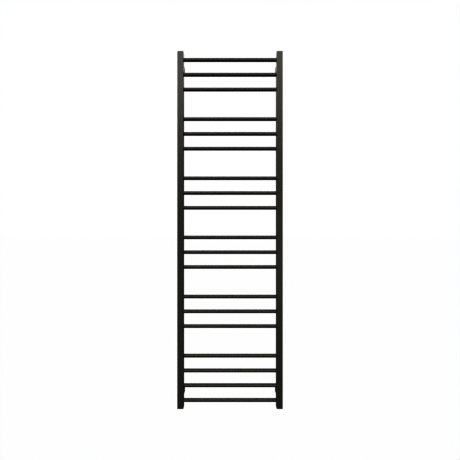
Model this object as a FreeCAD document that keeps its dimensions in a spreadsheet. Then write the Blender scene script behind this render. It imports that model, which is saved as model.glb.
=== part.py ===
"""Ladder-shaped towel warmer for a wall: two hollow posts, nineteen tube rungs, water ports, an air vent
and four telescopic wall brackets. Millimetres. X runs along the rungs, +Y points into the wall, +Z is up.
The origin lies on the wall, at the centre of the four fixing screws' pattern."""

import FreeCAD, Part
import os
import Sketcher

RUNG_GROUPS = (3, 3, 3, 3, 3, 4)  # rungs in each group, from the top; one slot stays empty between groups

# Every size that can be set by itself.
SIZES = (
    ("port_centres", 500, "between the axes of the two posts, and of the two water ports"),
    ("post_width", 30, "post's outside, along X"),
    ("post_depth", 30, "post's outside, along Y"),
    ("post_wall", 1.5, "wall of the post's tube"),
    ("post_corner", 1.5, "outside radius of the post's long edges"),
    ("slot_pitch", 75, "from one rung slot to the next"),
    ("end_margin", 37.5, "from the first and the last rung's axis to the post's end"),
    ("rung_diameter", 18, "rung's outside"),
    ("rung_wall", 1.2, "wall of the rung's tube"),
    ("rung_entry", 3, "how far a rung's end stands inside the post's hollow"),
    ("braze_gap", 0.05, "radial clearance of a brazed or screwed joint"),
    ("cap_thickness", 3, "plate that closes a post's top"),
    ("port_height", 15, "block that closes a post's bottom"),
    ("port_bore", 18.63, "inside of a G1/2 thread"),
    ("port_lead_in", 1, "chamfer at the port's mouth"),
    ("wall_gap", 30, "from the posts' backs to the wall, at the middle setting"),
    ("bracket_width", 30, "side of the square of a bracket's flange and socket"),
    ("bracket_corner", 1.5, "radius of a bracket's long edges"),
    ("flange_thickness", 4, "spigot's flange"),
    ("socket_wall", 5, "from the socket's bore to the middle of its side"),
    ("socket_base", 4, "socket's floor, which sits on the wall"),
    ("slide_clearance", 0.05, "radial clearance of the spigot in its socket"),
    ("inward_travel", 3, "gap that lets the rail move towards the wall"),
    ("screw_head_room", 2, "left between the spigot and the wall screw's head"),
    ("screw_hole", 5.5, "hole for the wall screw"),
    ("screw_head", 10.5, "countersink for the wall screw's head"),
    ("stud_diameter", 8, "spigot's threaded stud"),
    ("stud_length", 9, "spigot's threaded stud"),
    ("insert_diameter", 16, "threaded insert in the post's back"),
    ("insert_length", 10, "threaded insert in the post's back"),
    ("edge_break", 0.8, "chamfer on turned edges"),
    ("grub_diameter", 5, "locking screw"),
    ("grub_setback", 5, "from the socket's mouth to the locking screw"),
    ("grub_tip_gap", 0.1, "from the locking screw's tip to the spigot"),
    ("grub_key", 2.5, "across the flats of the locking screw's hexagon"),
    ("vent_drop", 16, "from the post's top to the vent's axis"),
    ("vent_boss_diameter", 20, "boss that the vent or the blanking plug screws into"),
    ("vent_boss_length", 10, "the same boss, along its axis"),
    ("vent_thread", 13.16, "outside of a G1/4 thread"),
    ("vent_shank_length", 9, "threaded part inside the boss"),
    ("seal_diameter", 18, "sealing ring's outside"),
    ("seal_thickness", 1.5, "sealing ring"),
    ("vent_hexagon", 17, "across the flats of the vent's head"),
    ("vent_head", 6, "vent's head, along its axis"),
    ("spindle_diameter", 5.4, "vent's spindle"),
    ("spindle_clearance", 0.1, "radial clearance of the spindle in the vent"),
    ("spindle_seat", 4, "metal between the spindle's tip and the vent's inner end"),
    ("spindle_square", 5, "across the flats of the spindle's end"),
    ("spindle_square_length", 5, "spindle's end, along its axis"),
    ("vent_outlet", 2, "passages that the air leaves through"),
    ("plug_head", 4, "blanking plug's head, along its axis"),
    ("plug_key", 8, "across the flats of the blanking plug's hexagon"),
    ("plug_key_depth", 5, "blanking plug's hexagon"),
)

# What follows from them.
WORKED = (
    ("slot_count", "=%d" % (sum(RUNG_GROUPS) + len(RUNG_GROUPS) - 1)),
    ("half_height", "=(Worked.slot_count - 1) * Sizes.slot_pitch / 2 + Sizes.end_margin"),
    ("post_axis", "=Sizes.port_centres / 2"),
    ("half_width", "=Sizes.post_width / 2"),
    ("half_depth", "=Sizes.post_depth / 2"),
    ("tube_height", "=2 * Worked.half_height - Sizes.cap_thickness - Sizes.port_height"),
    ("rung_radius", "=Sizes.rung_diameter / 2"),
    ("rung_bore", "=Sizes.rung_diameter / 2 - Sizes.rung_wall"),
    ("rung_hole", "=Sizes.rung_diameter / 2 + Sizes.braze_gap"),
    ("rung_half_length", "=Worked.post_axis - Worked.half_width + Sizes.post_wall + Sizes.rung_entry"),
    ("port_radius", "=Sizes.port_bore / 2"),
    ("bracket_height", "=Worked.half_height - Sizes.end_margin - Sizes.slot_pitch / 2"),
    ("bracket_half", "=Sizes.bracket_width / 2"),
    ("socket_bore", "=Worked.bracket_half - Sizes.socket_wall"),
    ("socket_length", "=Sizes.wall_gap - Sizes.flange_thickness - Sizes.inward_travel"),
    ("spigot_radius", "=Worked.socket_bore - Sizes.slide_clearance"),
    ("spigot_length", "=Worked.socket_length - Sizes.socket_base - Sizes.screw_head_room"),
    ("screw_radius", "=Sizes.screw_hole / 2"),
    ("head_radius", "=Sizes.screw_head / 2"),
    ("stud_radius", "=Sizes.stud_diameter / 2"),
    ("stud_hole", "=Worked.stud_radius + Sizes.braze_gap"),
    ("insert_radius", "=Sizes.insert_diameter / 2"),
    ("insert_hole", "=Worked.insert_radius + Sizes.braze_gap"),
    ("grub_radius", "=Sizes.grub_diameter / 2"),
    ("grub_hole", "=Worked.grub_radius + Sizes.braze_gap"),
    ("grub_tip", "=Worked.spigot_radius + Sizes.grub_tip_gap"),
    ("grub_length", "=Worked.bracket_half - Worked.grub_tip - Sizes.edge_break / 2"),
    ("vent_height", "=Worked.half_height - Sizes.vent_drop"),
    ("vent_boss_radius", "=Sizes.vent_boss_diameter / 2"),
    ("vent_boss_hole", "=Worked.vent_boss_radius + Sizes.braze_gap"),
    ("vent_radius", "=Sizes.vent_thread / 2"),
    ("vent_bore", "=Worked.vent_radius + Sizes.braze_gap"),
    ("seal_radius", "=Sizes.seal_diameter / 2"),
    ("spindle_radius", "=Sizes.spindle_diameter / 2"),
    ("spindle_bore", "=Worked.spindle_radius + Sizes.spindle_clearance"),
    ("outlet_radius", "=Sizes.vent_outlet / 2"),
)

doc = FreeCAD.newDocument("TowelWarmer")
sub_parts = []


def make_sheet(name, rows):
    """A sheet with one alias, value and note in each row."""
    sheet = doc.addObject("Spreadsheet::Sheet", name)
    for number, row in enumerate(rows, start=1):
        sheet.set("A%d" % number, row[0])
        sheet.setAlias("B%d" % number, row[0])
        if len(row) > 2:
            sheet.set("C%d" % number, row[2])
    for number, row in enumerate(rows, start=1):
        sheet.set("B%d" % number, str(row[1]))
    doc.recompute()
    return sheet


sizes = make_sheet("Sizes", SIZES)
worked = make_sheet("Worked", WORKED)
SHEET_OF = {row[0]: sizes for row in SIZES}
SHEET_OF.update({row[0]: worked for row in WORKED})


def value(length):
    """A length's number. A length is written as a sum of the sheets' names, such as 'a - b'."""
    total, sign = 0.0, 1
    for word in length.split():
        if word in "+-":
            sign = -1 if word == "-" else 1
        elif word != "0":
            total += sign * float(SHEET_OF[word].get(word))
    return total


def formula(length):
    """The same length as an expression on the sheets."""
    return " ".join(
        SHEET_OF[word].Name + "." + word if word in SHEET_OF else word for word in length.split()
    )


def bind(thing, path, length):
    thing.setExpression(path, formula(length))


def keep(thing, label, x="0", y="0", z="0"):
    """Names a finished sub-part and puts it in its place."""
    thing.Label = label
    for axis, length in zip("xyz", (x, y, z)):
        bind(thing, "Placement.Base." + axis, length)
    sub_parts.append(thing)
    return thing


# ---- sketches and features of a body ----------------------------------------------------------------


def new_sketch(body, plane, offset="0"):
    """An empty sketch on one of the body's own planes, moved along the plane's normal."""
    sketch = body.newObject("Sketcher::SketchObject", "Sketch")
    support = next(part for part in body.Origin.OriginFeatures if part.Role == plane)
    sketch.AttachmentSupport = [(support, "")]
    sketch.MapMode = "FlatFace"
    if offset != "0":
        bind(sketch, "AttachmentOffset.Base.z", offset)
    return sketch


def pin_point(sketch, line, end, coordinate, length, name):
    """Ties one coordinate of a point to a length, measured from the sketch's origin."""
    kind, axis = ("DistanceX", -2) if coordinate == "x" else ("DistanceY", -1)
    if length == "0":
        sketch.addConstraint(Sketcher.Constraint("PointOnObject", line, end, axis))
        return
    number = sketch.addConstraint(Sketcher.Constraint(kind, -1, 1, line, end, value(length)))
    sketch.renameConstraint(number, name)
    bind(sketch, "Constraints." + name, length)


def add_outline(sketch, points):
    """A closed outline of straight lines through points, each a pair of lengths."""
    places = [FreeCAD.Vector(value(across), value(up), 0) for across, up in points]
    first = sketch.GeometryCount
    lines = [
        sketch.addGeometry(Part.LineSegment(place, places[(number + 1) % len(places)]))
        for number, place in enumerate(places)
    ]
    for number, line in enumerate(lines):
        following = lines[(number + 1) % len(lines)]
        sketch.addConstraint(Sketcher.Constraint("Coincident", line, 2, following, 1))
    for number, (across, up) in enumerate(points):
        corner = "corner%d" % (first + number)
        pin_point(sketch, lines[number], 1, "x", across, corner + "x")
        pin_point(sketch, lines[number], 1, "y", up, corner + "y")


def add_rectangle(sketch, half_x, half_y):
    """A rectangle about the sketch's origin."""
    add_outline(sketch, (
        ("- " + half_x, "- " + half_y),
        (half_x, "- " + half_y),
        (half_x, half_y),
        ("- " + half_x, half_y),
    ))


def add_circle(sketch, radius, x="0", y="0"):
    centre = FreeCAD.Vector(value(x), value(y), 0)
    number = sketch.addGeometry(Part.Circle(centre, FreeCAD.Vector(0, 0, 1), value(radius)))
    name = "circle%d" % number
    size = sketch.addConstraint(Sketcher.Constraint("Radius", number, value(radius)))
    sketch.renameConstraint(size, name + "size")
    bind(sketch, "Constraints." + name + "size", radius)
    pin_point(sketch, number, 3, "x", x, name + "x")
    pin_point(sketch, number, 3, "y", y, name + "y")


def pad(body, sketch, length, reverse=False):
    """Raises the sketch along its plane's normal, or against it when reversed."""
    feature = body.newObject("PartDesign::Pad", "Pad")
    feature.Profile = sketch
    feature.Reversed = reverse
    bind(feature, "Length", length)
    doc.recompute()
    return feature


def pocket(body, sketch, length, reverse=False):
    """Cuts the sketch against its plane's normal, or along it when reversed."""
    before = body.Shape.Volume
    feature = body.newObject("PartDesign::Pocket", "Pocket")
    feature.Profile = sketch
    feature.Reversed = reverse
    bind(feature, "Length", length)
    doc.recompute()
    if not body.Shape.Volume < before:
        raise RuntimeError(body.Name + ": the pocket cuts nothing")
    return feature


def turn(body, points):
    """A solid turned about the body's Y axis from an outline of (radius, y) points."""
    sketch = new_sketch(body, "XY_Plane")
    add_outline(sketch, points)
    feature = body.newObject("PartDesign::Revolution", "Revolution")
    feature.Profile = sketch
    feature.ReferenceAxis = (sketch, ["V_Axis"])
    feature.Angle = 360
    doc.recompute()
    return feature


def groove(body, points):
    """Cuts what an outline of (radius, y) points sweeps round the body's Y axis."""
    sketch = new_sketch(body, "XY_Plane")
    add_outline(sketch, points)
    feature = body.newObject("PartDesign::Groove", "Groove")
    feature.Profile = sketch
    feature.ReferenceAxis = (sketch, ["V_Axis"])
    feature.Angle = 360
    doc.recompute()
    return feature


def round_long_edges(body, base, half_across, half_up, radius, plane="xy"):
    """Rounds the four long edges of a bar whose section is a rectangle in the given plane."""
    corner = (value(half_across), value(half_up))
    names = []
    for number, edge in enumerate(base.Shape.Edges, start=1):
        ends = [[getattr(vertex.Point, axis) for axis in plane] for vertex in edge.Vertexes]
        if len(ends) == 2 and all(
            abs(abs(end[0]) - corner[0]) < 0.001 and abs(abs(end[1]) - corner[1]) < 0.001 for end in ends
        ) and abs(ends[0][0] - ends[1][0]) < 0.001 and abs(ends[0][1] - ends[1][1]) < 0.001:
            names.append("Edge%d" % number)
    if len(names) != 4:
        raise RuntimeError(body.Name + ": the long edges aren't there to round")
    fillet = body.newObject("PartDesign::Fillet", "Fillet")
    fillet.Base = (base, names)
    bind(fillet, "Radius", radius)
    doc.recompute()
    return fillet


def break_end(body, base, y):
    """Chamfers the outline of the flat end at a place along Y."""
    level = value(y)
    names = [
        "Face%d" % number for number, face in enumerate(base.Shape.Faces, start=1)
        if abs(face.BoundBox.YMin - level) < 0.001 and abs(face.BoundBox.YMax - level) < 0.001
    ]
    if len(names) != 1:
        raise RuntimeError(body.Name + ": the end isn't there to chamfer")
    chamfer = body.newObject("PartDesign::Chamfer", "Chamfer")
    chamfer.Base = (base, names)
    bind(chamfer, "Size", "edge_break")
    doc.recompute()
    return chamfer


def new_body(name):
    return doc.addObject("PartDesign::Body", name)


def cylinder(radius, length, x="0", y="0", z="0", along="Z"):
    """A plain cylinder that starts at a place and runs along +Z, or +Y."""
    thing = doc.addObject("Part::Cylinder", "Cylinder")
    bind(thing, "Radius", radius)
    bind(thing, "Height", length)
    set_place(thing, x, y, z, along)
    return thing


def prism(sides, flats, length, x="0", y="0", z="0", along="Z"):
    """A bar with a regular section of the given size across its flats."""
    thing = doc.addObject("Part::Prism", "Prism")
    thing.Polygon = sides
    thing.setExpression("Circumradius", "%s / 2 / cos(180deg / %d)" % (formula(flats), sides))
    bind(thing, "Height", length)
    set_place(thing, x, y, z, along)
    return thing


def set_place(thing, x, y, z, along):
    if along == "Y":
        thing.Placement.Rotation = FreeCAD.Rotation(FreeCAD.Vector(1, 0, 0), -90)
    for axis, length in zip("xyz", (x, y, z)):
        bind(thing, "Placement.Base." + axis, length)


def join(*things):
    thing = doc.addObject("Part::MultiFuse", "Fusion")
    thing.Shapes = list(things)
    return thing


def cut(base, *tools):
    thing = base
    for tool in tools:
        less = doc.addObject("Part::Cut", "Cut")
        less.Base = thing
        less.Tool = tool
        thing = less
    return thing


# ---- where the rungs and the posts are --------------------------------------------------------------

SIDES = (("left", "- post_axis"), ("right", "post_axis"))
ENDS = (("top", "bracket_height"), ("bottom", "- bracket_height"))
POST_Y = "- wall_gap - half_depth"
POST_BACK = "- wall_gap"


def rung_slots():
    """The slot number of each rung, counted from the top."""
    slots, slot = [], 0
    for group in RUNG_GROUPS:
        slots.extend(range(slot, slot + group))
        slot += group + 1
    return slots


def slot_height(slot):
    """The height of a rung's axis, as a sum of the sheets' names."""
    return "half_height - end_margin" + " - slot_pitch" * slot


# ---- the rail ---------------------------------------------------------------------------------------


def make_post(side, x):
    """A hollow post, open at both ends, with holes for the rungs, the inserts and the vent's boss."""
    body = new_body(side + "_post")
    outline = new_sketch(body, "XY_Plane", "port_height - half_height")
    add_rectangle(outline, "half_width", "half_depth")
    bar = pad(body, outline, "tube_height")
    round_long_edges(body, bar, "half_width", "half_depth", "post_corner")

    hollow = new_sketch(body, "XY_Plane", "half_height")
    across = "half_width - post_wall"
    deep = "half_depth - post_wall"
    add_outline(hollow, (
        ("- half_width + post_wall", "- half_depth + post_wall"),
        (across, "- half_depth + post_wall"),
        (across, deep),
        ("- half_width + post_wall", deep),
    ))
    pocket(body, hollow, "half_height + half_height")

    rung_holes = new_sketch(body, "YZ_Plane")
    for slot in rung_slots():
        add_circle(rung_holes, "rung_hole", y=slot_height(slot))
    pocket(body, rung_holes, "post_width", reverse=side == "left")

    back_holes = new_sketch(body, "XZ_Plane")
    for _, height in ENDS:
        add_circle(back_holes, "insert_hole", y=height)
    add_circle(back_holes, "vent_boss_hole", y="vent_height")
    pocket(body, back_holes, "post_depth")
    return keep(body, side + "_post", x, POST_Y)


def make_rung(number, slot):
    """A tube whose ends stand inside the posts' hollows."""
    body = new_body("rung")
    ring = new_sketch(body, "YZ_Plane", "- rung_half_length")
    add_circle(ring, "rung_radius")
    add_circle(ring, "rung_bore")
    pad(body, ring, "rung_half_length + rung_half_length")
    return keep(body, "rung_%02d" % number, "0", POST_Y, slot_height(slot))


def make_top_cap(side, x):
    """The plate welded onto a post's top and ground flush."""
    body = new_body(side + "_top_cap")
    outline = new_sketch(body, "XY_Plane")
    add_rectangle(outline, "half_width", "half_depth")
    plate = pad(body, outline, "cap_thickness")
    round_long_edges(body, plate, "half_width", "half_depth", "post_corner")
    return keep(body, side + "_top_cap", x, POST_Y, "half_height - cap_thickness")


def make_port_block(side, x):
    """The block welded into a post's bottom end, with the threaded water port through it."""
    body = new_body(side + "_port_block")
    outline = new_sketch(body, "XY_Plane")
    add_rectangle(outline, "half_width", "half_depth")
    block = pad(body, outline, "port_height")
    round_long_edges(body, block, "half_width", "half_depth", "post_corner")
    port = new_sketch(body, "XY_Plane")
    add_circle(port, "port_radius")
    pocket(body, port, "port_height", reverse=True)
    mouth = new_sketch(body, "XZ_Plane")
    add_outline(mouth, (
        ("0", "0"),
        ("port_radius + port_lead_in", "0"),
        ("port_radius", "port_lead_in"),
        ("0", "port_lead_in"),
    ))
    lead_in = body.newObject("PartDesign::Groove", "Groove")
    lead_in.Profile = mouth
    lead_in.ReferenceAxis = (mouth, ["V_Axis"])
    lead_in.Angle = 360
    return keep(body, side + "_port_block", x, POST_Y, "- half_height")


# ---- the wall brackets ------------------------------------------------------------------------------


def make_insert(name, x, z):
    """A threaded insert brazed into the post's back."""
    body = new_body("insert_" + name)
    turn(body, (
        ("stud_hole", "- insert_length"),
        ("insert_radius", "- insert_length"),
        ("insert_radius", "0"),
        ("stud_hole", "0"),
    ))
    return keep(body, "insert_" + name, x, POST_BACK, z)


def bracket_bar(body, length, reverse):
    """A square bar with rounded long edges, from the body's XZ plane to an end with its edges broken."""
    section = new_sketch(body, "XZ_Plane")
    add_rectangle(section, "bracket_half", "bracket_half")
    bar = pad(body, section, length, reverse)
    bar = round_long_edges(body, bar, "bracket_half", "bracket_half", "bracket_corner", "xz")
    return break_end(body, bar, length if reverse else "- " + length)


def make_spigot(name, x, z):
    """A square flange on the post's back, with a stud for the post's insert and a shaft to slide."""
    body = new_body("spigot_" + name)
    bracket_bar(body, "flange_thickness", True)
    turn(body, (
        ("0", "- stud_length"),
        ("stud_radius - edge_break", "- stud_length"),
        ("stud_radius", "- stud_length + edge_break"),
        ("stud_radius", "0"),
        ("spigot_radius", "0"),
        ("spigot_radius", "flange_thickness + spigot_length - edge_break"),
        ("spigot_radius - edge_break", "flange_thickness + spigot_length"),
        ("0", "flange_thickness + spigot_length"),
    ))
    return keep(body, "spigot_" + name, x, POST_BACK, z)


def make_socket(name, x, z):
    """The square cup on the wall, with a countersunk screw hole, a bore and a locking screw's hole."""
    body = new_body("socket_" + name)
    bracket_bar(body, "socket_length", False)
    groove(body, (
        ("0", "- socket_length"),
        ("socket_bore", "- socket_length"),
        ("socket_bore", "- socket_base"),
        ("head_radius", "- socket_base"),
        ("screw_radius", "- socket_base + head_radius - screw_radius"),
        ("screw_radius", "0"),
        ("0", "0"),
    ))
    lock = new_sketch(body, "XY_Plane")
    add_circle(lock, "grub_hole", y="- socket_length + grub_setback")
    pocket(body, lock, "bracket_width")
    return keep(body, "socket_" + name, x, "0", z)


def make_grub_screw(name, x, z):
    """The locking screw, which enters its socket from below."""
    shank = cylinder("grub_radius", "grub_length")
    key_way = prism(6, "grub_key", "grub_radius")
    screw = cut(shank, key_way)
    return keep(screw, "grub_screw_" + name, x, "- socket_length + grub_setback",
                z + " - grub_tip - grub_length")


# ---- the air vent and the blanking plug -------------------------------------------------------------


def make_boss(label, x):
    """A threaded boss brazed into the post's back."""
    body = new_body(label)
    turn(body, (
        ("vent_bore", "- vent_boss_length"),
        ("vent_boss_radius", "- vent_boss_length"),
        ("vent_boss_radius", "0"),
        ("vent_bore", "0"),
    ))
    return keep(body, label, x, POST_BACK, "vent_height")


def make_seal(label, x):
    """A flat sealing ring between a head and the post's back."""
    body = new_body(label)
    turn(body, (
        ("vent_bore", "0"),
        ("seal_radius", "0"),
        ("seal_radius", "seal_thickness"),
        ("vent_bore", "seal_thickness"),
    ))
    return keep(body, label, x, POST_BACK, "vent_height")


def make_vent_body(x):
    """A screwed-in valve body: a hexagon head, a seat for the spindle and a downward outlet."""
    head = prism(6, "vent_hexagon", "vent_head", y="seal_thickness", along="Y")
    shank = cylinder("vent_radius", "vent_shank_length + seal_thickness", y="- vent_shank_length",
                     along="Y")
    chamber = cylinder("spindle_bore", "vent_shank_length + seal_thickness + vent_head",
                       y="- vent_shank_length + spindle_seat", along="Y")
    seat = cylinder("outlet_radius", "vent_shank_length", y="- vent_shank_length", along="Y")
    outlet = cylinder("outlet_radius", "vent_hexagon", y="seal_thickness + vent_head - vent_outlet",
                      z="- vent_hexagon")
    body = cut(join(head, shank), chamber, seat, outlet)
    return keep(body, "vent_body", x, POST_BACK, "vent_height")


def make_vent_spindle(x):
    """The spindle that closes the seat, with a square end for a key."""
    stem = cylinder("spindle_radius", "vent_shank_length - spindle_seat + seal_thickness + vent_head"
                    " + spindle_clearance",
                    y="- vent_shank_length + spindle_seat + spindle_clearance", along="Y")
    square = prism(4, "spindle_square", "spindle_square_length",
                   y="seal_thickness + vent_head + spindle_clearance", along="Y")
    spindle = join(stem, square)
    return keep(spindle, "vent_spindle", x, POST_BACK, "vent_height")


def make_blanking_plug(x):
    """The plug that closes the spare boss, with a hexagon for a key."""
    head = cylinder("seal_radius", "plug_head", y="seal_thickness", along="Y")
    shank = cylinder("vent_radius", "vent_shank_length + seal_thickness", y="- vent_shank_length",
                     along="Y")
    key_way = prism(6, "plug_key", "plug_key_depth", y="seal_thickness + plug_head - plug_key_depth",
                    along="Y")
    plug = cut(join(head, shank), key_way)
    return keep(plug, "blanking_plug", x, POST_BACK, "vent_height")


def write_parts():
    """Checks the whole document, then writes one STEP file for each sub-part."""
    doc.recompute()
    for thing in doc.Objects:
        if "Invalid" in thing.State or "Error" in thing.State:
            raise RuntimeError(thing.Label + ": " + ", ".join(thing.State))
    for thing in sub_parts:
        if thing.Shape.isNull() or not thing.Shape.isValid() or not thing.Shape.Solids:
            raise RuntimeError(thing.Label + ": no valid solid")
    os.makedirs("parts", exist_ok=True)
    for thing in sub_parts:
        thing.Shape.exportStep(os.path.join("parts", thing.Label + ".step"))
    print(len(sub_parts), "sub-parts written")


for side, x in SIDES:
    make_post(side, x)
    make_top_cap(side, x)
    make_port_block(side, x)
    for end, z in ENDS:
        name = end + "_" + side
        make_insert(name, x, z)
        make_spigot(name, x, z)
        make_socket(name, x, z)
        make_grub_screw(name, x, z)
for number, slot in enumerate(rung_slots(), start=1):
    make_rung(number, slot)
make_boss("vent_boss", "post_axis")
make_seal("vent_seal", "post_axis")
make_vent_body("post_axis")
make_vent_spindle("post_axis")
make_boss("plug_boss", "- post_axis")
make_seal("plug_seal", "- post_axis")
make_blanking_plug("- post_axis")
write_parts()
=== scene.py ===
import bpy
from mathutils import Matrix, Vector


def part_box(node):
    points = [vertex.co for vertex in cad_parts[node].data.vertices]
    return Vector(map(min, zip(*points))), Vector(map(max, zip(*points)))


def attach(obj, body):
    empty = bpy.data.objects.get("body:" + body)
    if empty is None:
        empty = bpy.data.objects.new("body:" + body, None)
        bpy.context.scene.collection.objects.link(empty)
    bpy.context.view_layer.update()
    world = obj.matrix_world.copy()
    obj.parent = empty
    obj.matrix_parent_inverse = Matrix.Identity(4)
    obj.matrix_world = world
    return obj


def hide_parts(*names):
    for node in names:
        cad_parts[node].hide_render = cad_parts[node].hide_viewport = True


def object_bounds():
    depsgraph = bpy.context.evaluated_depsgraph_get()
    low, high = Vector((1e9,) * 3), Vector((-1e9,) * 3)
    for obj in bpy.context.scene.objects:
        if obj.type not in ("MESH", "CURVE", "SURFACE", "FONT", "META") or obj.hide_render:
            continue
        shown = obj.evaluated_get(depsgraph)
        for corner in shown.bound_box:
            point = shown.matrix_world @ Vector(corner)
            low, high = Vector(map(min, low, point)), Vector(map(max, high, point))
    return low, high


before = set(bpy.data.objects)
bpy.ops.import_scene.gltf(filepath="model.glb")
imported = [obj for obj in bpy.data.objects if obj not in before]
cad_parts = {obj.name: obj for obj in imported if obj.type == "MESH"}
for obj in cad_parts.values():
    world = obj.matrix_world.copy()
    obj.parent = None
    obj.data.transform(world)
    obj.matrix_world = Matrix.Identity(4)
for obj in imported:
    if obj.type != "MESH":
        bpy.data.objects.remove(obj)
CAD_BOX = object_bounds()

"""The looks of a black ladder-shaped towel warmer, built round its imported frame. Metres, with X
along the rungs, +Y into the wall and +Z up."""

import math

import bpy
from bpy.props import FloatProperty, FloatVectorProperty, IntProperty, PointerProperty
from mathutils import Vector

bl_info = {
    "name": "Towel warmer",
    "version": (1, 0, 0),
    "blender": (4, 5, 0),
    "location": "View3D > Sidebar > Towel warmer",
    "description": "Posts, rungs, ports, brackets and vent of a towel warmer, with its stage",
    "category": "Add Mesh",
}

MM = 0.001
RAIL, SPINDLE = "rail", "bleed_spindle"
SIDES = ("left", "right")
CORNERS = ("top_left", "bottom_left", "top_right", "bottom_right")
RUNG_NODES = sorted(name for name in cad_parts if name.startswith("rung_"))

# The posts' meshes.
EDGE_STEPS = 4  # flats round the ground edge at a post's end
LENGTH_STEPS = 24  # rings along a post
COATED, CUT = 0, 1  # the numbers of a post's two finishes
LEAST_CORNER = 0.1 * MM  # radius that an inner corner keeps

# The vent, the plug and their seals.
SHANK = 6.5 * MM  # radius of the vent's and the plug's shank
SHANK_EDGE = 0.5 * MM  # chamfer at a shank's end
VENT_BORE = 2.8 * MM  # radius round the spindle
STEM = 2.65 * MM  # radius of the spindle's round part
SQUARE = 2.5 * MM  # half width of the spindle's square end
SQUARE_CORNER = 0.35 * MM  # turned off the square's corners
KEY = 4 * MM  # half width of the plug's hexagon key hole
KEY_DEPTH = 4.6 * MM
PLUG_EDGE = 0.8 * MM  # radius of the edge of the plug's head
SEAL_BORE = 6.63 * MM  # radius inside a sealing ring

# The studio's light by elevation in degrees, as shares of its brightest part.
FRONT_LIGHT = ((-90, 0), (-44, 0), (-24, 0.16), (-5, 0.05), (10, 0.05), (17, 0.055), (24, 0.51),
               (30.5, 1.0), (38, 0.67), (48, 0.05), (90, 0.03))
BACK_LIGHT = ((-90, 0), (-48, 0.04), (-28, 0.01), (-8, 0.035), (5, 0.025), (16, 0.04), (24, 0.045),
              (31, 0.42), (38, 0.32), (48, 0.15), (62, 0.1), (90, 0.15))
LIGHT_TINT = (1.0, 0.985, 0.945)
LIGHT_BLEND = 0.15  # half the width of the change from the front light to the back one
FLOOR_REACH = 40.0
FLOOR_GLOW = 0.994
FILL_WIDTH, FILL_HEIGHT = 3.0, 1.3
FILL_PLACE = (1.7, -5.0, -0.65)


# ---- what a user can set -------------------------------------------------------------------


class WarmerShape(bpy.types.PropertyGroup):
    """Sizes of what the frame leaves plain."""

    post_wall: FloatProperty(
        name="Post wall", description="Wall of the posts' tube",
        default=1.5 * MM, min=0.5 * MM, unit="LENGTH")
    post_corner: FloatProperty(
        name="Post corner", description="Radius of the posts' long edges",
        default=1.5 * MM, min=0.2 * MM, unit="LENGTH")
    end_edge: FloatProperty(
        name="End edge", description="Radius of the ground edges at the posts' ends",
        default=0.5 * MM, min=0.1 * MM, unit="LENGTH")
    rung_wall: FloatProperty(
        name="Rung wall", description="Wall of the rungs' tube",
        default=1.2 * MM, min=0.5 * MM, unit="LENGTH")
    braze_leg: FloatProperty(
        name="Braze leg", description="Size of the braze fillet round a rung's end",
        default=1.6 * MM, min=0.2 * MM, unit="LENGTH")
    rung_sides: IntProperty(
        name="Rung sides", description="Faces round a rung", default=72, min=12)
    thread_root: FloatProperty(
        name="Thread root", description="Largest radius of the ports' thread",
        default=10.48 * MM, min=1 * MM, unit="LENGTH")
    thread_crest: FloatProperty(
        name="Thread crest", description="Smallest radius of the ports' thread",
        default=9.32 * MM, min=1 * MM, unit="LENGTH")
    thread_pitch: FloatProperty(
        name="Thread pitch", description="From one turn of the thread to the next",
        default=1.814 * MM, min=0.2 * MM, unit="LENGTH")
    lead_in: FloatProperty(
        name="Lead-in", description="Chamfer at the ports' mouths",
        default=1 * MM, min=0.1 * MM, unit="LENGTH")


class WarmerFinish(bpy.types.PropertyGroup):
    """Colours and textures of the finishes."""

    coat_colour: FloatVectorProperty(
        name="Coat", description="Colour of the powder coat",
        subtype="COLOR", size=3, default=(0.0105, 0.0098, 0.0072), min=0, max=1)
    coat_roughness: FloatProperty(
        name="Coat roughness", description="Satin of the powder coat",
        default=0.40, min=0, max=1, subtype="FACTOR")
    peel_size: FloatProperty(
        name="Peel size", description="Distance between the coat's fine ripples",
        default=0.9 * MM, min=0.05 * MM, unit="LENGTH")
    peel_height: FloatProperty(
        name="Peel height", description="Height of the coat's fine ripples",
        default=0.03 * MM, min=0, unit="LENGTH")
    nickel_colour: FloatVectorProperty(
        name="Nickel", description="Colour of the plated fittings",
        subtype="COLOR", size=3, default=(0.66, 0.62, 0.55), min=0, max=1)
    brass_colour: FloatVectorProperty(
        name="Brass", description="Colour of the vent's spindle",
        subtype="COLOR", size=3, default=(0.72, 0.52, 0.24), min=0, max=1)
    steel_colour: FloatVectorProperty(
        name="Steel", description="Colour of bare cut steel",
        subtype="COLOR", size=3, default=(0.42, 0.41, 0.39), min=0, max=1)
    oxide_colour: FloatVectorProperty(
        name="Oxide", description="Colour of the locking screws' black oxide",
        subtype="COLOR", size=3, default=(0.035, 0.035, 0.038), min=0, max=1)
    rubber_colour: FloatVectorProperty(
        name="Rubber", description="Colour of the sealing rings",
        subtype="COLOR", size=3, default=(0.012, 0.012, 0.012), min=0, max=1)


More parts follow.
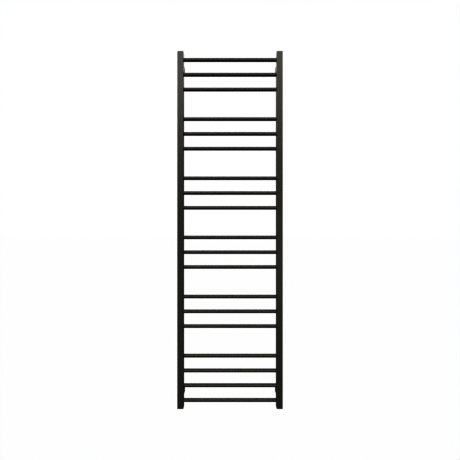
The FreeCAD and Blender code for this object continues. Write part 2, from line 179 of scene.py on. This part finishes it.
class WarmerStage(bpy.types.PropertyGroup):
    """Camera, floor and light."""

    camera_distance: FloatProperty(
        name="Camera distance", description="From the posts' faces to the camera",
        default=1.592, min=0.1, unit="LENGTH")
    height_share: FloatProperty(
        name="Height share", description="Share of the picture that the posts fill",
        default=0.7784, min=0.05, max=1, subtype="FACTOR")
    floor_drop: FloatProperty(
        name="Floor drop", description="From the posts' ends down to the floor",
        default=0.22, min=0.01, unit="LENGTH")
    fill: FloatProperty(
        name="Fill", description="Power of the low panel to the front right",
        default=42, min=0, unit="POWER")
    dome: FloatProperty(
        name="Dome", description="Brightness of the high soft boxes", default=12, min=0)
    lean: FloatProperty(
        name="Lean", description="How much brighter the soft boxes are towards the left",
        default=0.33, min=0, max=1, subtype="FACTOR")
    print_gamma: FloatProperty(
        name="Print gamma", description="Contrast of the finished picture",
        default=0.5, min=0.1, max=2)


# ---- meshes --------------------------------------------------------------------------------


def mesh_piece(name, points, faces, finishes, kinds=None):
    """A piece from points and faces. kinds gives each face's number in the list of finishes."""
    mesh = bpy.data.meshes.new(name)
    mesh.from_pydata([tuple(point) for point in points], [], faces)
    for finish in finishes:
        mesh.materials.append(finish)
    if kinds:
        mesh.polygons.foreach_set("material_index", kinds)
    mesh.shade_smooth()
    mesh.validate()
    piece = bpy.data.objects.new(name, mesh)
    bpy.context.scene.collection.objects.link(piece)
    return piece


def seat(piece, body, slot, *nodes):
    """Lets a piece ride on a body, in place of some CAD nodes, which it hides. The slot is not
    used.
    """
    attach(piece, body)
    if nodes:
        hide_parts(*nodes)


def middle(node):
    low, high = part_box(node)
    return (low + high) / 2


def axis_point(node):
    """The point on the wall plane that an axis along Y through a node's middle meets."""
    centre = middle(node)
    centre.y = 0
    return centre


def band(faces, first, second, count):
    """Faces between two rings of points, given by the number of each ring's first point."""
    for step in range(count):
        following = (step + 1) % count
        faces.append((first + step, first + following, second + following, second + step))


def rounded_rectangle(half_x, half_y, radius, corner_steps=6, side_steps=10):
    """Points round a rectangle with round corners, anticlockwise."""
    points = []
    corners = ((1, 1), (-1, 1), (-1, -1), (1, -1))
    for number, (side_x, side_y) in enumerate(corners):
        centre = Vector((side_x * (half_x - radius), side_y * (half_y - radius)))
        for step in range(corner_steps + 1):
            angle = math.radians(90 * (number + step / corner_steps))
            points.append(centre + radius * Vector((math.cos(angle), math.sin(angle))))
        after = corners[(number + 1) % len(corners)]
        angle = math.radians(90 * (number + 1))
        start = points[-1]
        end = Vector((after[0] * (half_x - radius), after[1] * (half_y - radius)))
        end += radius * Vector((math.cos(angle), math.sin(angle)))
        points.extend(start.lerp(end, step / side_steps) for step in range(1, side_steps))
    return points


def circle_under(outline, radius):
    """The points of a circle that lie under an outline's points, seen from its centre."""
    return [radius * point.normalized() for point in outline]


def turned(name, profile, centre, finish, sides=64, closed=False):
    """A solid round an axis along Y through centre. The profile's points are (y, radius), and
    either may be a function of the angle. A closed profile makes a ring, an open one is filled at
    both its ends."""
    points, faces = [], []
    for profile_point in profile:
        for side in range(sides):
            angle = 2 * math.pi * side / sides
            y, reach = [part(angle) if callable(part) else part for part in profile_point]
            points.append(centre + Vector((reach * math.cos(angle), y, reach * math.sin(angle))))
    rings = len(profile)
    for ring in range(rings if closed else rings - 1):
        band(faces, (ring + 1) % rings * sides, ring * sides, sides)
    if not closed:
        faces.append(tuple(range(sides)))
        faces.append(tuple(range(rings * sides - 1, (rings - 1) * sides - 1, -1)))
    return mesh_piece(name, points, faces, (finish,))


def even_sided(corners, flat, round_off=0.0):
    """The radius of a regular section with a corner on X and the given half width across flats,
    as a function of the angle."""
    half = math.pi / corners

    def radius(angle):
        across = angle % (2 * half) - half
        return min(flat / math.cos(across), flat / math.cos(half) - round_off)

    return radius


def crisp(piece, angle=32):
    """Marks the edges that turn by more than the angle as sharp."""
    piece.data.set_sharp_from_angle(angle=math.radians(angle))
    return piece


def weigh_normals(piece):
    """Keeps flat faces flat beside their rounded edges."""
    modifier = piece.modifiers.new("Flat faces", "WEIGHTED_NORMAL")
    modifier.keep_sharp = True


def baked_shape(piece):
    """Turns a piece's modifiers into its mesh."""
    graph = bpy.context.evaluated_depsgraph_get()
    mesh = bpy.data.meshes.new_from_object(
        piece.evaluated_get(graph), preserve_all_data_layers=True, depsgraph=graph)
    piece.modifiers.clear()
    piece.data = mesh
    mesh.name = piece.name
    return piece


# ---- geometry trees ------------------------------------------------------------------------


class Tree:
    """A geometry node tree with named inputs, written a node at a time."""

    def __init__(self, name, inputs):
        self.group = bpy.data.node_groups.new(name, "GeometryNodeTree")
        self.group.interface.new_socket(
            "Geometry", in_out="OUTPUT", socket_type="NodeSocketGeometry")
        self.sockets = {}
        for label, kind in inputs:
            self.sockets[label] = self.group.interface.new_socket(
                label, in_out="INPUT", socket_type="NodeSocket" + kind)
        self.entry = self.group.nodes.new("NodeGroupInput")
        self.exit = self.group.nodes.new("NodeGroupOutput")

    def node(self, kind, settings=None, **inputs):
        """A node with its settings, and its inputs linked or set by name, with _ for a space."""
        made = self.group.nodes.new(kind)
        for key, setting in (settings or {}).items():
            setattr(made, key, setting)
        for key, source in inputs.items():
            self.feed(made.inputs[key.replace("_", " ")], source)
        return made

    def feed(self, socket, source):
        """Links a socket to another, or sets it to a value."""
        if isinstance(source, bpy.types.NodeSocket):
            self.group.links.new(source, socket)
        else:
            socket.default_value = source

    def sum(self, operation, first, second):
        """The result of one arithmetic node."""
        made = self.group.nodes.new("ShaderNodeMath")
        made.operation = operation
        self.feed(made.inputs[0], first)
        self.feed(made.inputs[1], second)
        return made.outputs[0]

    def vector(self, x=0.0, y=0.0, z=0.0):
        return self.node("ShaderNodeCombineXYZ", X=x, Y=y, Z=z).outputs[0]

    def outline(self, *corners):
        """A closed outline of four corners."""
        points = {"Point_%d" % number: corner for number, corner in enumerate(corners, 1)}
        made = self.node("GeometryNodeCurvePrimitiveQuadrilateral", {"mode": "POINTS"}, **points)
        return made.outputs[0]

    def moved(self, geometry, place):
        made = self.node("GeometryNodeTransform", Geometry=geometry, Translation=place)
        return made.outputs[0]

    def given(self, label):
        return self.entry.outputs[label]

    def finish_with(self, geometry, finish):
        """Ends the tree in real geometry with a finish."""
        real = self.node("GeometryNodeRealizeInstances", Geometry=geometry)
        coated = self.node("GeometryNodeSetMaterial", Geometry=real.outputs[0], Material=finish)
        self.group.links.new(coated.outputs[0], self.exit.inputs[0])
        return self

    def grow(self, name, values):
        """Runs the tree once and returns the result as a plain piece."""
        piece = bpy.data.objects.new(name, bpy.data.meshes.new(name))
        bpy.context.scene.collection.objects.link(piece)
        modifier = piece.modifiers.new("Grow", "NODES")
        modifier.node_group = self.group
        for label, value in values.items():
            modifier[self.sockets[label].identifier] = value
        baked_shape(piece).data.shade_smooth()
        return piece


def rung_points(tree):
    """Points on the rungs' axes, from the top one down. Every fourth slot but the last is left
    empty, so that towels hang between the groups."""
    step = tree.vector(z=tree.sum("MULTIPLY", tree.given("Pitch"), -1.0))
    start = tree.vector(y=tree.given("Depth"), z=tree.given("Top"))
    slots = tree.given("Slots")
    line = tree.node("GeometryNodeMeshLine", Count=slots, Start_Location=start, Offset=step)
    index = tree.node("GeometryNodeInputIndex").outputs[0]
    fourth = tree.sum("COMPARE", tree.sum("MODULO", index, 4.0), 3.0)
    before_last = tree.sum("LESS_THAN", index, tree.sum("SUBTRACT", slots, 1.0))
    empty = tree.sum("MULTIPLY", fourth, before_last)
    cleared = tree.node("GeometryNodeDeleteGeometry", {"domain": "POINT"},
                        Geometry=line.outputs[0], Selection=empty)
    return cleared.outputs[0]


def swept_ring(tree, radius, profile):
    """A profile swept round a circle whose axis is X."""
    circle = tree.node("GeometryNodeCurvePrimitiveCircle",
                       Resolution=tree.given("Sides"), Radius=radius)
    ring = tree.node("GeometryNodeCurveToMesh", Curve=circle.outputs[0], Profile_Curve=profile)
    turn = (0.0, math.radians(90), 0.0)
    return tree.node("GeometryNodeTransform", Geometry=ring.outputs[0], Rotation=turn).outputs[0]


RUNG_INPUTS = (("Slots", "Int"), ("Pitch", "Float"), ("Top", "Float"), ("Depth", "Float"),
               ("Radius", "Float"), ("Sides", "Int"))


def rung_tree(finish):
    """The rungs: one tube, set on every used slot."""
    tree = Tree("Rungs", RUNG_INPUTS + (("Wall", "Float"), ("Length", "Float")))
    wall = tree.given("Wall")
    section = tree.node("GeometryNodeCurvePrimitiveQuadrilateral",
                        Width=wall, Height=tree.given("Length"))
    mid_wall = tree.sum("SUBTRACT", tree.given("Radius"), tree.sum("MULTIPLY", wall, 0.5))
    tube = swept_ring(tree, mid_wall, section.outputs[0])
    tubes = tree.node("GeometryNodeInstanceOnPoints", Points=rung_points(tree), Instance=tube)
    return tree.finish_with(tubes.outputs[0], finish)


def braze_tree(finish):
    """The braze fillets: a hollow-faced ring round each rung's end, against each post."""
    tree = Tree("Braze fillets", RUNG_INPUTS + (("Leg", "Float"), ("Face", "Float")))
    leg = tree.given("Leg")
    hollow = tree.sum("MULTIPLY", leg, 0.3)
    section = tree.outline(tree.vector(), tree.vector(x=leg), tree.vector(x=hollow, y=hollow),
                           tree.vector(y=leg))
    ring = swept_ring(tree, tree.given("Radius"), section)
    rings = tree.node("GeometryNodeJoinGeometry")
    points = rung_points(tree)
    for side, turn in ((-1.0, 0.0), (1.0, math.pi)):
        shift = tree.vector(x=tree.sum("MULTIPLY", tree.given("Face"), side))
        placed = tree.node("GeometryNodeInstanceOnPoints", Points=tree.moved(points, shift),
                           Instance=ring, Rotation=(0.0, 0.0, turn))
        tree.group.links.new(placed.outputs[0], rings.inputs[0])
    return tree.finish_with(rings.outputs[0], finish)


def thread_tree(finish):
    """The ports' inside threads: a ridge that climbs round the bore, once in each post."""
    lengths = ("Root", "Crest", "Pitch", "Length", "Bottom", "Depth", "Post")
    tree = Tree("Port threads", [(label, "Float") for label in lengths])
    root, pitch, length = tree.given("Root"), tree.given("Pitch"), tree.given("Length")
    path = tree.node("GeometryNodeCurveSpiral", Resolution=48,
                     Rotations=tree.sum("DIVIDE", length, pitch),
                     Start_Radius=root, End_Radius=root, Height=length)
    upright = tree.node("GeometryNodeSetCurveNormal", {"mode": "Z_UP"}, Curve=path.outputs[0])
    deep = tree.sum("SUBTRACT", root, tree.given("Crest"))

    def corner(share, **inward):
        """A corner of the ridge's section, a share of the pitch above its middle."""
        return tree.vector(y=tree.sum("MULTIPLY", pitch, share), **inward)

    foot, top = 0.46, 0.08
    section = tree.outline(corner(-foot), corner(-top, x=deep), corner(top, x=deep), corner(foot))
    ridge = tree.node("GeometryNodeCurveToMesh", Curve=upright.outputs[0], Profile_Curve=section,
                      Fill_Caps=True)
    ridges = tree.node("GeometryNodeJoinGeometry")
    for side in (-1.0, 1.0):
        place = tree.vector(x=tree.sum("MULTIPLY", tree.given("Post"), side),
                            y=tree.given("Depth"), z=tree.given("Bottom"))
        tree.group.links.new(tree.moved(ridge.outputs[0], place), ridges.inputs[0])
    return tree.finish_with(ridges.outputs[0], finish)


# ---- finishes ------------------------------------------------------------------------------


def ripple_group():
    """Fine ripples and slow unevenness of a sprayed or plated skin, as a height and a mask."""
    name = "Skin ripple"
    if name in bpy.data.node_groups:
        return bpy.data.node_groups[name]
    group = bpy.data.node_groups.new(name, "ShaderNodeTree")
    for labels, way in ((("Size", "Height"), "INPUT"), (("Ripple", "Patch"), "OUTPUT")):
        for label in labels:
            group.interface.new_socket(label, in_out=way, socket_type="NodeSocketFloat")
    nodes, links = group.nodes, group.links
    entry, exit_ = nodes.new("NodeGroupInput"), nodes.new("NodeGroupOutput")
    place = nodes.new("ShaderNodeTexCoord").outputs["Object"]

    def noise(factor, detail):
        """Noise whose scale is the factor divided by the ripples' size."""
        scale = nodes.new("ShaderNodeMath")
        scale.operation = "DIVIDE"
        scale.inputs[0].default_value = factor
        links.new(entry.outputs["Size"], scale.inputs[1])
        made = nodes.new("ShaderNodeTexNoise")
        made.inputs["Detail"].default_value = detail
        links.new(place, made.inputs["Vector"])
        links.new(scale.outputs[0], made.inputs["Scale"])
        return made.outputs["Fac"]

    fine = noise(factor=1.0, detail=2.0)
    patch = noise(factor=0.012, detail=3.0)
    height = nodes.new("ShaderNodeMath")
    height.operation = "MULTIPLY"
    links.new(fine, height.inputs[0])
    links.new(entry.outputs["Height"], height.inputs[1])
    links.new(height.outputs[0], exit_.inputs["Ripple"])
    links.new(patch, exit_.inputs["Patch"])
    return group


def finish_material(name, colour, roughness, spread, size, height, metallic, tint):
    """A finish with fine ripples in its surface and slow changes in its roughness and colour."""
    if name in bpy.data.materials:
        return bpy.data.materials[name]
    material = bpy.data.materials.new(name)
    material.use_nodes = True
    nodes, links = material.node_tree.nodes, material.node_tree.links
    shader = nodes["Principled BSDF"]
    shader.inputs["Metallic"].default_value = metallic
    ripple = nodes.new("ShaderNodeGroup")
    ripple.node_tree = ripple_group()
    ripple.inputs["Size"].default_value = size
    ripple.inputs["Height"].default_value = height
    bump = nodes.new("ShaderNodeBump")
    bump.inputs["Distance"].default_value = 1.0
    links.new(ripple.outputs["Ripple"], bump.inputs["Height"])
    links.new(bump.outputs["Normal"], shader.inputs["Normal"])
    rough = nodes.new("ShaderNodeMapRange")
    rough.inputs["To Min"].default_value = roughness - spread
    rough.inputs["To Max"].default_value = roughness + spread
    links.new(ripple.outputs["Patch"], rough.inputs["Value"])
    links.new(rough.outputs[0], shader.inputs["Roughness"])
    shade = nodes.new("ShaderNodeMix")
    shade.data_type = "RGBA"
    light = [min(1.0, channel * (1 + tint)) for channel in colour]
    dark = [channel * (1 - tint) for channel in colour]
    shade.inputs["A"].default_value = (*dark, 1)
    shade.inputs["B"].default_value = (*light, 1)
    links.new(ripple.outputs["Patch"], shade.inputs["Factor"])
    links.new(shade.outputs["Result"], shader.inputs["Base Color"])
    return material


def powder_coat():
    look = bpy.context.scene.warmer_finish
    return finish_material("Satin black coat", look.coat_colour, look.coat_roughness, spread=0.03,
                           size=look.peel_size, height=look.peel_height, metallic=0.0, tint=0.12)


def nickel():
    colour = bpy.context.scene.warmer_finish.nickel_colour
    return finish_material("Satin nickel", colour, roughness=0.26, spread=0.05,
                           size=0.4 * MM, height=0.002 * MM, metallic=1.0, tint=0.05)


def brass():
    colour = bpy.context.scene.warmer_finish.brass_colour
    return finish_material("Turned brass", colour, roughness=0.30, spread=0.06,
                           size=0.3 * MM, height=0.003 * MM, metallic=1.0, tint=0.08)


def cut_steel():
    colour = bpy.context.scene.warmer_finish.steel_colour
    return finish_material("Cut steel", colour, roughness=0.36, spread=0.08,
                           size=0.4 * MM, height=0.006 * MM, metallic=1.0, tint=0.15)


def black_oxide():
    colour = bpy.context.scene.warmer_finish.oxide_colour
    return finish_material("Black oxide", colour, roughness=0.38, spread=0.05,
                           size=0.3 * MM, height=0.003 * MM, metallic=0.8, tint=0.2)


def seal_rubber():
    colour = bpy.context.scene.warmer_finish.rubber_colour
    return finish_material("Seal rubber", colour, roughness=0.62, spread=0.06,
                           size=0.5 * MM, height=0.01 * MM, metallic=0.0, tint=0.2)


# ---- the pieces ----------------------------------------------------------------------------


def post_shell(side, welded):
    """One post with its cap and port block, ground flush and coated as one, hollow as the real
    one is."""
    shape = bpy.context.scene.warmer_shape
    low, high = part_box(side + "_post")
    bottom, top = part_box(side + "_port_block")[0].z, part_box(side + "_top_cap")[1].z
    centre = (low + high) / 2
    half_x, half_y = (high.x - low.x) / 2, (high.y - low.y) / 2
    corner, edge, wall = shape.post_corner, shape.end_edge, shape.post_wall

    def section(inset):
        return rounded_rectangle(half_x - inset, half_y - inset, max(corner - inset, LEAST_CORNER))

    # The coated outside, from the top's rounded edge to the bottom's.
    turns = [math.radians(90 * step / EDGE_STEPS) for step in range(EDGE_STEPS + 1)]
    rings = [(top - edge * (1 - math.cos(turn)), section(edge * (1 - math.sin(turn))))
             for turn in turns]
    straight = top - bottom - 2 * edge
    rings += [(top - edge - straight * step / LENGTH_STEPS, section(0))
              for step in range(1, LENGTH_STEPS)]
    rings += [(bottom + edge * (1 - math.sin(turn)), section(edge * (1 - math.cos(turn))))
              for turn in turns]
    coated = len(rings)

    # The port's lead-in and bore, then the inside of the tube.
    outline = section(0)
    rings.append((bottom, circle_under(outline, shape.thread_root + shape.lead_in)))
    rings.append((bottom + shape.lead_in, circle_under(outline, shape.thread_root)))
    rings.append((low.z, circle_under(outline, shape.thread_root)))
    rings.append((low.z, section(wall)))
    rings.append((high.z, section(wall)))

    count = len(outline)
    points = [Vector((centre.x + point.x, centre.y + point.y, z))
              for z, ring in rings for point in ring]
    faces, kinds = [tuple(range(count))], [COATED]
    for number in range(len(rings) - 1):
        band(faces, (number + 1) * count, number * count, count)
        kinds += [COATED if number < coated else CUT] * count
    last = (len(rings) - 1) * count
    faces.append(tuple(range(last + count - 1, last - 1, -1)))
    kinds.append(CUT)
    piece = mesh_piece("post_shell_" + side, points, faces, (powder_coat(), cut_steel()), kinds)
    weigh_normals(crisp(piece, angle=50))
    nodes = [side + part for part in ("_post", "_top_cap", "_port_block")] + welded
    seat(piece, RAIL, "satin_black", *nodes)


class WARMER_OT_posts(bpy.types.Operator):
    """Build both posts as hollow, coated shells"""

    bl_idname = "warmer.posts"
    bl_label = "Posts"

    def execute(self, context):
        for side, boss in zip(SIDES, ("plug_boss", "vent_boss")):
            inserts = ["insert_" + corner for corner in CORNERS if corner.endswith(side)]
            post_shell(side, inserts + [boss])
        return {"FINISHED"}


def rung_values():
    """The rungs' places and sizes, as the frame has them."""
    low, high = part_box(RUNG_NODES[0])
    top, bottom = middle(RUNG_NODES[0]).z, middle(RUNG_NODES[-1]).z
    pitch = top - middle(RUNG_NODES[1]).z
    return {
        "Slots": round((top - bottom) / pitch) + 1,
        "Pitch": pitch,
        "Top": top,
        "Depth": middle(RUNG_NODES[0]).y,
        "Radius": (high.z - low.z) / 2,
        "Sides": bpy.context.scene.warmer_shape.rung_sides,
    }


class WARMER_OT_rungs(bpy.types.Operator):
    """Build the rungs as thin-walled tubes"""

    bl_idname = "warmer.rungs"
    bl_label = "Rungs"

    def execute(self, context):
        low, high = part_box(RUNG_NODES[0])
        values = rung_values()
        values["Wall"] = context.scene.warmer_shape.rung_wall
        values["Length"] = high.x - low.x
        piece = rung_tree(powder_coat()).grow("rungs", values)
        seat(crisp(piece), RAIL, "satin_black", *RUNG_NODES)
        return {"FINISHED"}


class WARMER_OT_braze_fillets(bpy.types.Operator):
    """Build the braze fillets where the rungs meet the posts"""

    bl_idname = "warmer.braze_fillets"
    bl_label = "Braze fillets"

    def execute(self, context):
        values = rung_values()
        values["Leg"] = context.scene.warmer_shape.braze_leg
        values["Face"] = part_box("right_post")[0].x
        piece = braze_tree(powder_coat()).grow("braze_fillets", values)
        seat(crisp(piece, angle=60), RAIL, "satin_black")
        return {"FINISHED"}


class WARMER_OT_port_threads(bpy.types.Operator):
    """Build the inside threads of the two water ports"""

    bl_idname = "warmer.port_threads"
    bl_label = "Port threads"

    def execute(self, context):
        shape = context.scene.warmer_shape
        low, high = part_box("right_port_block")
        values = {
            "Root": shape.thread_root,
            "Crest": shape.thread_crest,
            "Pitch": shape.thread_pitch,
            "Length": high.z - low.z - shape.lead_in - shape.thread_pitch,
            "Bottom": low.z + shape.lead_in + shape.thread_pitch / 2,
            "Depth": (low.y + high.y) / 2,
            "Post": (low.x + high.x) / 2,
        }
        piece = thread_tree(cut_steel()).grow("port_threads", values)
        seat(crisp(piece), RAIL, "plain_steel")
        return {"FINISHED"}


class WARMER_OT_brackets(bpy.types.Operator):
    """Coat the wall sockets, spigots and locking screws"""

    bl_idname = "warmer.brackets"
    bl_label = "Wall brackets"

    def execute(self, context):
        finishes = {"socket_": powder_coat(), "spigot_": powder_coat(),
                    "grub_screw_": black_oxide()}
        for corner in CORNERS:
            for kind, finish in finishes.items():
                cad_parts[kind + corner].data.materials[0] = finish
        return {"FINISHED"}


def shank_rings(start, end):
    """The rings of a fitting's shank, chamfered where it starts."""
    return [(start, SHANK - SHANK_EDGE), (start + SHANK_EDGE, SHANK), (end, SHANK)]


def hexagon_head(y_low, y_high, flat):
    """The rings of a hexagon head whose corners are turned off to a cone at both ends."""
    section = even_sided(6, flat)
    face = 0.96 * flat
    slope = math.tan(math.radians(30))

    def drop(angle):
        return (section(angle) - face) * slope

    return [(y_low, face), (lambda angle: y_low + drop(angle), section),
            (lambda angle: y_high - drop(angle), section), (y_high, face)]


class WARMER_OT_vent(bpy.types.Operator):
    """Build the air vent, its spindle, the blanking plug and their seals"""

    bl_idname = "warmer.vent"
    bl_label = "Vent and plug"

    def execute(self, context):
        self.valve()
        self.spindle()
        self.plug()
        for node in ("vent_seal", "plug_seal"):
            self.seal(node)
        return {"FINISHED"}

    def valve(self):
        """The vent's body, open round the spindle."""
        low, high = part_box("vent_body")
        seal_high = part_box("vent_seal")[1].y
        bore_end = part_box("vent_spindle")[0].y - 0.1 * MM
        mouth = 0.3 * MM
        profile = shank_rings(low.y, seal_high)
        profile += hexagon_head(seal_high, high.y, flat=(high.z - low.z) / 2)
        profile += [(high.y, VENT_BORE + mouth), (high.y - mouth, VENT_BORE), (bore_end, VENT_BORE)]
        piece = turned("vent_valve", profile, axis_point("vent_body"), nickel(), sides=96)
        seat(crisp(piece, angle=30), RAIL, "nickel_plate", "vent_body")

    def spindle(self):
        """The vent's spindle: a round stem with a square end for the key."""
        low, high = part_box("vent_spindle")
        square = even_sided(4, SQUARE, SQUARE_CORNER)
        stem_edge, end_length, end_inset = 0.4 * MM, 0.5 * MM, 0.35 * MM
        stem_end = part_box("vent_body")[1].y + 0.1 * MM
        profile = [(low.y, STEM - stem_edge), (low.y + stem_edge, STEM), (stem_end, STEM),
                   (stem_end + 0.05 * MM, square), (high.y - end_length, square),
                   (high.y, lambda angle: square(angle) - end_inset)]
        piece = turned("bleed_key_spindle", profile, axis_point("vent_spindle"), brass())
        seat(crisp(piece, angle=30), SPINDLE, "spindle_brass", "vent_spindle")

    def plug(self):
        """The blanking plug: a round head with a hexagon key hole."""
        low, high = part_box("blanking_plug")
        seal_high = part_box("plug_seal")[1].y
        head = (high.x - low.x) / 2
        head_edge, mouth = 0.3 * MM, 0.4 * MM
        key = even_sided(6, KEY)
        profile = shank_rings(low.y, seal_high)
        profile += [(seal_high, head - head_edge), (seal_high + head_edge, head)]
        for degrees in range(0, 91, 15):
            angle = math.radians(degrees)
            profile.append((high.y - PLUG_EDGE * (1 - math.sin(angle)),
                            head - PLUG_EDGE * (1 - math.cos(angle))))
        profile += [(high.y, lambda angle: key(angle) + mouth), (high.y - mouth, key),
                    (high.y - KEY_DEPTH, key)]
        piece = turned("blind_plug", profile, axis_point("blanking_plug"), nickel(), sides=96)
        seat(crisp(piece, angle=30), RAIL, "nickel_plate", "blanking_plug")

    def seal(self, node):
        """A sealing ring with a bulged outer side."""
        low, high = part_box(node)
        outer = (high.x - low.x) / 2
        bulge = (high.y - low.y) / 2
        steps = 8
        profile = []
        for step in range(steps + 1):
            angle = math.radians(180 * step / steps)
            profile.append((low.y + bulge * (1 - math.cos(angle)),
                            outer - bulge * (1 - math.sin(angle))))
        profile += [(high.y, SEAL_BORE), (low.y, SEAL_BORE)]
        name = node.replace("_seal", "_sealing_ring")
        piece = turned(name, profile, axis_point(node), seal_rubber(), closed=True)
        seat(crisp(piece, angle=40), RAIL, "seal_rubber", node)


# ---- the stage -----------------------------------------------------------------------------


class WARMER_OT_stage(bpy.types.Operator):
    """Build the floor, the lights and the camera"""

    bl_idname = "warmer.stage"
    bl_label = "Stage"

    def execute(self, context):
        stage = context.scene.warmer_stage
        low, high = CAD_BOX
        self.floor(low.z - stage.floor_drop)
        self.fill_light(stage.fill)
        self.dome(stage.dome, stage.lean)
        self.camera(stage, low, high)
        context.scene.view_settings.view_transform = "Standard"
        context.scene.view_settings.gamma = stage.print_gamma
        return {"FINISHED"}

    def floor(self, height):
        """A pale floor that stays even, and neither lights nor shades the rail."""
        corners = ((-1, -1), (1, -1), (1, 1), (-1, 1))
        points = [(FLOOR_REACH * x, FLOOR_REACH * y, height) for x, y in corners]
        material = bpy.data.materials.new("Pale floor")
        material.use_nodes = True
        shader = material.node_tree.nodes["Principled BSDF"]
        shader.inputs["Base Color"].default_value = (0, 0, 0, 1)
        shader.inputs["Specular IOR Level"].default_value = 0.0
        shader.inputs["Emission Color"].default_value = (1, 1, 1, 1)
        shader.inputs["Emission Strength"].default_value = FLOOR_GLOW
        floor = mesh_piece("floor", points, [(0, 1, 2, 3)], (material,))
        floor.visible_glossy = False
        floor.visible_diffuse = False
        floor.visible_shadow = False

    def fill_light(self, power):
        """A low panel to the front right, aimed at the middle of the wall brackets."""
        lamp = bpy.data.lights.new("Fill", "AREA")
        lamp.shape = "RECTANGLE"
        lamp.size, lamp.size_y = FILL_WIDTH, FILL_HEIGHT
        lamp.energy = power
        holder = bpy.data.objects.new("Fill", lamp)
        holder.location = FILL_PLACE
        holder.rotation_euler = (-holder.location).to_track_quat("-Z", "Y").to_euler()
        holder.visible_camera = False
        bpy.context.scene.collection.objects.link(holder)

    def dome(self, strength, lean):
        """A white backdrop to the camera, and to the rail a dark studio with high soft boxes in
        front and behind."""
        world = bpy.data.worlds.new("Studio")
        bpy.context.scene.world = world
        world.use_nodes = True
        nodes, links = world.node_tree.nodes, world.node_tree.links
        nodes.clear()
        direction = nodes.new("ShaderNodeTexCoord").outputs["Generated"]
        parts = nodes.new("ShaderNodeSeparateXYZ")
        links.new(direction, parts.inputs[0])

        def ranged(part, **limits):
            """A part of the direction, mapped from the given limits to others."""
            made = nodes.new("ShaderNodeMapRange")
            for key, limit in limits.items():
                made.inputs[key.replace("_", " ")].default_value = limit
            links.new(parts.outputs[part], made.inputs["Value"])
            return made

        height = ranged("Z", From_Min=-1.0)
        side = ranged("Y", From_Min=-LIGHT_BLEND, From_Max=LIGHT_BLEND)
        side.interpolation_type = "SMOOTHSTEP"
        halves = nodes.new("ShaderNodeMix")
        halves.data_type = "RGBA"
        links.new(side.outputs[0], halves.inputs["Factor"])
        for socket, levels in (("A", FRONT_LIGHT), ("B", BACK_LIGHT)):
            ramp = nodes.new("ShaderNodeValToRGB")
            links.new(height.outputs[0], ramp.inputs[0])
            elements = ramp.color_ramp.elements
            while len(elements) < len(levels):
                elements.new(0.5)
            for element, (elevation, level) in zip(elements, levels):
                element.position = (math.sin(math.radians(elevation)) + 1) / 2
                element.color = (*(level * channel for channel in LIGHT_TINT), 1)
            links.new(ramp.outputs[0], halves.inputs[socket])
        leaning = ranged("X", From_Min=-1.0, To_Min=strength * (1 + lean),
                         To_Max=strength * (1 - lean))
        room, backdrop = nodes.new("ShaderNodeBackground"), nodes.new("ShaderNodeBackground")
        links.new(halves.outputs["Result"], room.inputs["Color"])
        links.new(leaning.outputs[0], room.inputs["Strength"])
        backdrop.inputs["Color"].default_value = (1, 1, 1, 1)
        seen = nodes.new("ShaderNodeLightPath").outputs["Is Camera Ray"]
        choice, output = nodes.new("ShaderNodeMixShader"), nodes.new("ShaderNodeOutputWorld")
        links.new(seen, choice.inputs[0])
        links.new(room.outputs[0], choice.inputs[1])
        links.new(backdrop.outputs[0], choice.inputs[2])
        links.new(choice.outputs[0], output.inputs[0])

    def camera(self, stage, low, high):
        """A camera straight in front of the rail, level with its middle."""
        eye = bpy.data.cameras.new("Camera")
        width = (high.z - low.z) / stage.height_share
        eye.lens = eye.sensor_width * stage.camera_distance / width
        holder = bpy.data.objects.new("Camera", eye)
        holder.location = ((low.x + high.x) / 2, low.y - stage.camera_distance,
                           (low.z + high.z) / 2)
        holder.rotation_euler = (math.radians(90), 0, 0)
        bpy.context.scene.collection.objects.link(holder)
        bpy.context.scene.camera = holder


class WARMER_PT_panel(bpy.types.Panel):
    """Buttons for the pieces and the stage"""

    bl_label = "Towel warmer"
    bl_idname = "WARMER_PT_panel"
    bl_space_type = "VIEW_3D"
    bl_region_type = "UI"
    bl_category = "Towel warmer"

    def draw(self, context):
        for operator in OPERATORS:
            self.layout.operator(operator.bl_idname)
        scene = context.scene
        for group in (scene.warmer_shape, scene.warmer_finish, scene.warmer_stage):
            for name in group.__annotations__:
                self.layout.prop(group, name)


OPERATORS = (WARMER_OT_posts, WARMER_OT_rungs, WARMER_OT_braze_fillets, WARMER_OT_port_threads,
             WARMER_OT_brackets, WARMER_OT_vent, WARMER_OT_stage)
CLASSES = (WarmerShape, WarmerFinish, WarmerStage, *OPERATORS, WARMER_PT_panel)


def register():
    for cls in CLASSES:
        bpy.utils.register_class(cls)
    bpy.types.Scene.warmer_shape = PointerProperty(type=WarmerShape)
    bpy.types.Scene.warmer_finish = PointerProperty(type=WarmerFinish)
    bpy.types.Scene.warmer_stage = PointerProperty(type=WarmerStage)


def unregister():
    del bpy.types.Scene.warmer_stage
    del bpy.types.Scene.warmer_finish
    del bpy.types.Scene.warmer_shape
    for cls in reversed(CLASSES):
        bpy.utils.unregister_class(cls)


def main():
    register()
    bpy.ops.warmer.posts()
    bpy.ops.warmer.rungs()
    bpy.ops.warmer.braze_fillets()
    bpy.ops.warmer.port_threads()
    bpy.ops.warmer.brackets()
    bpy.ops.warmer.vent()
    bpy.ops.warmer.stage()


if __name__ == "__main__":
    main()
